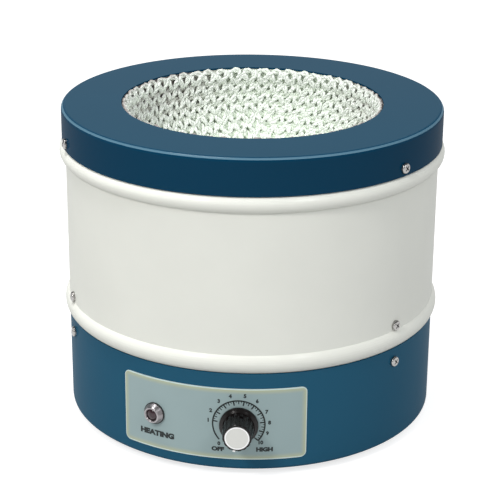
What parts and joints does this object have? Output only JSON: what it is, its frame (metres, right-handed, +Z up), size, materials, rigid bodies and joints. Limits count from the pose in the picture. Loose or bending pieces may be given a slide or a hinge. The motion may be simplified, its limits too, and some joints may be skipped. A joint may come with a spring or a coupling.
{
  "type": "heating mantle",
  "caption": "Round heating mantle with a crocheted glass-fibre bowl for a round-bottom flask, a rotary regulator and a pilot lamp.",
  "frame": {"origin": "on the surface it stands on, under the middle of its bounding box, which is the housing's axis", "axes": "+Z up, -Y towards the front, where the control panel is, and +X to the right seen from the front"},
  "size_m": [0.2839, 0.3177, 0.2365],
  "materials": {
    "blue_paint": "satin",
    "cream_paint": "satin",
    "zinc_steel": "satin",
    "screw_steel": "polished",
    "glass_fibre": "satin",
    "lead_sleeve": "matte",
    "ceramic_wool": "matte",
    "porcelain": "gloss",
    "panel_print": "satin",
    "lamp_chrome": "polished",
    "lamp_lens": "gloss",
    "lamp_case": "matte",
    "black_plastic": "satin",
    "satin_aluminium": "satin",
    "white_plastic": "satin",
    "black_nylon": "matte",
    "rubber": "matte",
    "phenolic": "matte",
    "board_green": "satin",
    "brass": "satin",
    "triac_epoxy": "matte",
    "film_yellow": "gloss",
    "enamelled_copper": "gloss",
    "red_wire": "satin",
    "blue_wire": "satin",
    "fuse_glass": "gloss"
  },
  "bodies": {
    "housing": {"top_cover": "blue_paint", "cover_screws": "screw_steel", "barrel": "cream_paint", "barrel_screws": "screw_steel", "base_drum": "blue_paint", "base_screws": "screw_steel", "bottom_plate": "zinc_steel", "foot_1": "rubber", "foot_2": "rubber", "foot_3": "rubber", "foot_4": "rubber", "foot_screws": "screw_steel", "foot_nuts": "zinc_steel", "heater_bowl": "glass_fibre", "rim_hoop": "zinc_steel", "insulation_block": "ceramic_wool", "partition_pan": "zinc_steel", "lead_bush": "porcelain", "heater_leads": "lead_sleeve", "control_panel": "panel_print", "lamp_bezel": "lamp_chrome", "lamp_lens": "lamp_lens", "lamp_body": "lamp_case", "lamp_nut": "zinc_steel", "regulator_body": "phenolic", "regulator_nut": "zinc_steel", "circuit_board": "board_green", "board_spacers": "brass", "heat_sink": "satin_aluminium", "triac": "triac_epoxy", "filter_capacitor": "film_yellow", "filter_choke": "enamelled_copper", "terminal_block": "porcelain", "lamp_leads": "red_wire", "regulator_leads": "blue_wire", "cable_gland": "black_nylon", "gland_nut": "black_nylon", "fuse_holder": "black_plastic", "fuse_nut": "black_nylon"},
    "knob": {"knob": "black_plastic", "knob_face": "satin_aluminium", "knob_pointer": "white_plastic", "knob_grub_screw": "screw_steel", "regulator_shaft": "zinc_steel"},
    "fuse_carrier": {"fuse_cap": "black_plastic", "fuse": "fuse_glass"}
  },
  "joints": [
    {"name": "knob_turn", "type": "hinge", "parent": "housing", "child": "knob", "pos_m": [0.02032, -0.13599, 0.041], "axis": [-0.1478, 0.989, 0], "range_deg": [0, 303]},
    {"name": "fuse_pull", "type": "slide", "parent": "housing", "child": "fuse_carrier", "axis": [0.342, 0.9397, 0], "range_m": [0, 0.026]}
  ]
}
